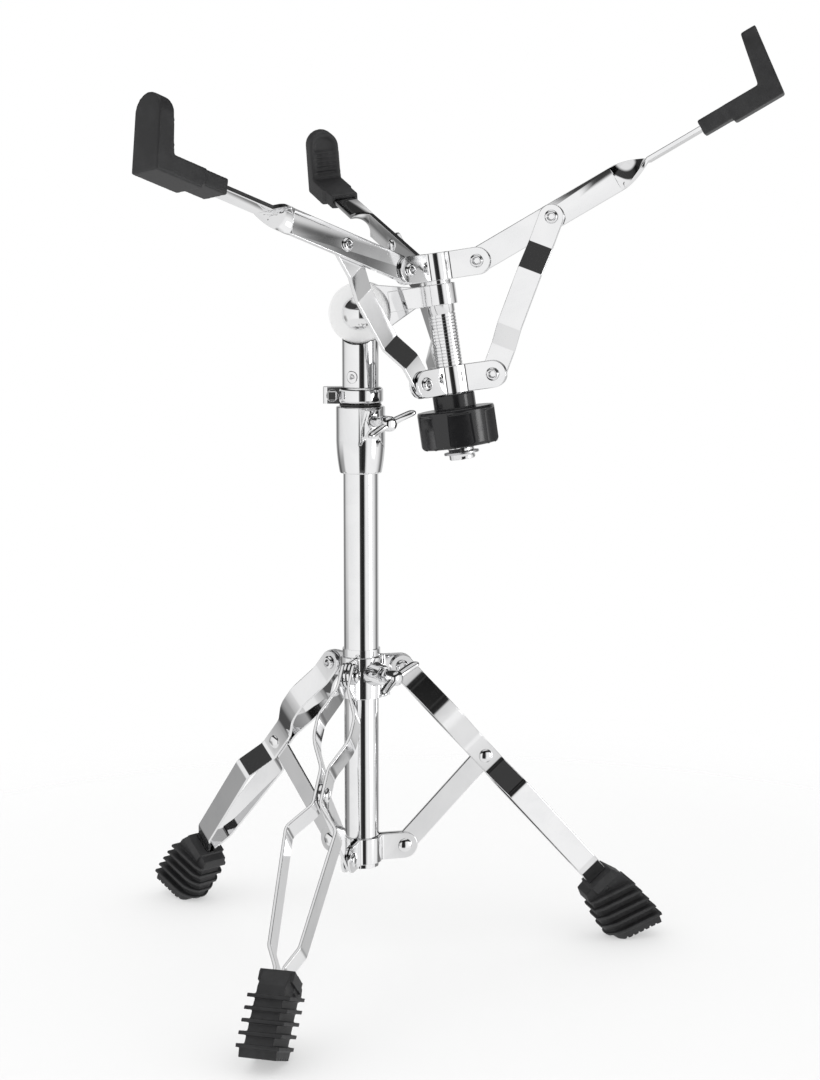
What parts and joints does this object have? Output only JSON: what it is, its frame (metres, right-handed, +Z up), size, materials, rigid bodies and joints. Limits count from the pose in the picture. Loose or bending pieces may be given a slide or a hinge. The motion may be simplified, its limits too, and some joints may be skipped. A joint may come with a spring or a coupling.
{
  "type": "snare drum stand",
  "caption": "Folding tripod stand with a telescoping mast, a ratchet tilter and a screw-closed basket of rubber-tipped arms that holds a snare drum.",
  "frame": {"origin": "middle of the stand's outline, on the floor", "axes": "+Z up along the mast; the basket rod stands off the mast along +X"},
  "size_m": [0.4368, 0.4046, 0.5914],
  "materials": {
    "chrome": "polished chrome plate on steel",
    "steel": "bright spring steel",
    "rubber": "matt moulded rubber",
    "black_plastic": "glossy moulded plastic",
    "black_nylon": "matt nylon",
    "white_nylon": "satin nylon"
  },
  "bodies": {
    "base": {"base_tube": "chrome", "leg_spider_plates": "chrome", "leg_spider_rivets": "chrome", "height_collar": "chrome"},
    "leg_collar": {"collar_sleeve": "chrome", "collar_plates": "chrome", "collar_boss": "chrome", "leg_pivot_rivets": "chrome"},
    "leg_screw": {"leg_wing_screw": "chrome"},
    "height_screw": {"height_wing_screw": "chrome"},
    "swivel": {"nylon_bushing": "black_nylon"},
    "mast": {"upper_tube": "chrome", "memory_lock": "chrome", "memory_lock_screw": "chrome", "tilter_socket": "chrome", "socket_rivet": "chrome", "tilter_cup": "chrome"},
    "basket": {"tilter_ratchet": "white_nylon", "tilter_disc": "white_nylon", "tilter_bolt": "chrome", "tilter_washer": "chrome", "tilter_arm": "chrome", "tilter_strap": "chrome", "basket_rod": "chrome", "rod_clip": "steel", "upper_spider_plates": "chrome", "upper_spider_rivets": "chrome"},
    "tilter_nut": {"tilter_wing_nut": "chrome"},
    "lower_spider": {"lower_spider_plates": "chrome", "lower_spider_rivets": "chrome"},
    "knob": {"tension_knob": "black_plastic"},
    "leg_1": {"leg_strips_1": "chrome", "foot_1": "rubber", "strut_rivet_1": "chrome"},
    "strut_1": {"strut_1": "chrome"},
    "leg_2": {"leg_strips_2": "chrome", "foot_2": "rubber", "strut_rivet_2": "chrome"},
    "strut_2": {"strut_2": "chrome"},
    "leg_3": {"leg_strips_3": "chrome", "foot_3": "rubber", "strut_rivet_3": "chrome"},
    "strut_3": {"strut_3": "chrome"},
    "arm_1": {"arm_1": "chrome", "grip_1": "rubber", "link_rivet_1": "chrome"},
    "link_1": {"link_1": "chrome"},
    "arm_2": {"arm_2": "chrome", "grip_2": "rubber", "link_rivet_2": "chrome"},
    "link_2": {"link_2": "chrome"},
    "arm_3": {"arm_3": "chrome", "grip_3": "rubber", "link_rivet_3": "chrome"},
    "link_3": {"link_3": "chrome"}
  },
  "joints": [
    {"name": "leg_fold", "type": "slide", "parent": "base", "child": "leg_collar", "axis": [0, 0, 1], "range_m": [0, 0.04308]},
    {"name": "swivel", "type": "hinge", "parent": "base", "child": "swivel", "pos_m": [-0.0407, 0.0029, 0.36167], "axis": [0, 0, 1], "range_deg": [0, 240]},
    {"name": "height", "type": "slide", "parent": "swivel", "child": "mast", "axis": [0, 0, 1], "range_m": [0, 0.15]},
    {"name": "tilt", "type": "hinge", "parent": "mast", "child": "basket", "pos_m": [-0.0407, 0.0029, 0.42017], "axis": [0, -1, 0], "range_deg": [-4, 45]},
    {"name": "tilter_nut_turn", "type": "hinge", "parent": "basket", "child": "tilter_nut", "pos_m": [-0.0407, 0.0267, 0.42017], "axis": [0, 1, 0], "range_deg": [-180, 180]},
    {"name": "basket_slide", "type": "slide", "parent": "basket", "child": "lower_spider", "axis": [-0.1478, 0, 0.989], "range_m": [0, 0.01739]},
    {"name": "knob_turn", "type": "hinge", "parent": "lower_spider", "child": "knob", "pos_m": [0.01879, 0.0029, 0.37051], "axis": [-0.1478, 0, 0.989], "range_deg": [0, 3129.84]},
    {"name": "leg_screw_turn", "type": "hinge", "parent": "leg_collar", "child": "leg_screw", "pos_m": [-0.02319, -0.00869, 0.19134], "axis": [0.8339, -0.5519, 0], "range_deg": [-180, 180]},
    {"name": "height_screw_turn", "type": "hinge", "parent": "base", "child": "height_screw", "pos_m": [-0.02866, -0.01048, 0.35317], "axis": [0.6691, -0.7431, 0], "range_deg": [-180, 180]},
    {"name": "leg_1_swing", "type": "hinge", "parent": "leg_collar", "child": "leg_1", "pos_m": [-0.01743, 0.0145, 0.19384], "axis": [-0.4462, 0.8949, 0], "range_deg": [0, 36]},
    {"name": "strut_1_swing", "type": "hinge", "parent": "leg_1", "child": "strut_1", "pos_m": [0.03329, 0.03979, 0.1309], "axis": [0.4462, -0.8949, 0], "range_deg": [0, 75.11]},
    {"name": "leg_2_swing", "type": "hinge", "parent": "leg_collar", "child": "leg_2", "pos_m": [-0.06238, 0.01725, 0.19384], "axis": [-0.5519, -0.8339, 0], "range_deg": [0, 36]},
    {"name": "strut_2_swing", "type": "hinge", "parent": "leg_2", "child": "strut_2", "pos_m": [-0.10964, 0.04853, 0.1309], "axis": [0.5519, 0.8339, 0], "range_deg": [0, 75.11]},
    {"name": "leg_3_swing", "type": "hinge", "parent": "leg_collar", "child": "leg_3", "pos_m": [-0.04229, -0.02305, 0.19384], "axis": [0.9981, -0.061, 0], "range_deg": [0, 36]},
    {"name": "strut_3_swing", "type": "hinge", "parent": "leg_3", "child": "strut_3", "pos_m": [-0.04575, -0.07962, 0.1309], "axis": [-0.9981, 0.061, 0], "range_deg": [0, 75.11]},
    {"name": "arm_1_swing", "type": "hinge", "parent": "basket", "child": "arm_1", "pos_m": [0.0338, 0.0029, 0.45274], "axis": [0, -1, 0], "range_deg": [0, 38.5]},
    {"name": "link_1_swing", "type": "hinge", "parent": "arm_1", "child": "link_1", "pos_m": [0.08005, 0.0029, 0.47944], "axis": [0, 1, 0], "range_deg": [0, 24.64]},
    {"name": "arm_2_swing", "type": "hinge", "parent": "basket", "child": "arm_2", "pos_m": [-0.00625, 0.02628, 0.44676], "axis": [0.8565, 0.5, 0.128], "range_deg": [0, 38.5]},
    {"name": "link_2_swing", "type": "hinge", "parent": "arm_2", "child": "link_2", "pos_m": [-0.03371, 0.06931, 0.46244], "axis": [-0.8565, -0.5, -0.128], "range_deg": [0, 24.64]},
    {"name": "arm_3_swing", "type": "hinge", "parent": "basket", "child": "arm_3", "pos_m": [-0.00625, -0.02048, 0.44676], "axis": [-0.8565, 0.5, -0.128], "range_deg": [0, 38.5]},
    {"name": "link_3_swing", "type": "hinge", "parent": "arm_3", "child": "link_3", "pos_m": [-0.03371, -0.06351, 0.46244], "axis": [0.8565, -0.5, 0.128], "range_deg": [0, 24.64]}
  ],
  "couplings": [
    {"joint": "knob_turn", "follows": "basket_slide", "rad_per_m": 3141.6},
    {"joint": "leg_1_swing", "follows": "leg_fold", "rad_per_m": 14.586},
    {"joint": "strut_1_swing", "follows": "leg_fold", "rad_per_m": 30.433},
    {"joint": "leg_2_swing", "follows": "leg_fold", "rad_per_m": 14.586},
    {"joint": "strut_2_swing", "follows": "leg_fold", "rad_per_m": 30.433},
    {"joint": "leg_3_swing", "follows": "leg_fold", "rad_per_m": 14.586},
    {"joint": "strut_3_swing", "follows": "leg_fold", "rad_per_m": 30.433},
    {"joint": "arm_1_swing", "follows": "basket_slide", "rad_per_m": 38.645},
    {"joint": "link_1_swing", "follows": "basket_slide", "rad_per_m": 24.729},
    {"joint": "arm_2_swing", "follows": "basket_slide", "rad_per_m": 38.645},
    {"joint": "link_2_swing", "follows": "basket_slide", "rad_per_m": 24.729},
    {"joint": "arm_3_swing", "follows": "basket_slide", "rad_per_m": 38.645},
    {"joint": "link_3_swing", "follows": "basket_slide", "rad_per_m": 24.729}
  ]
}
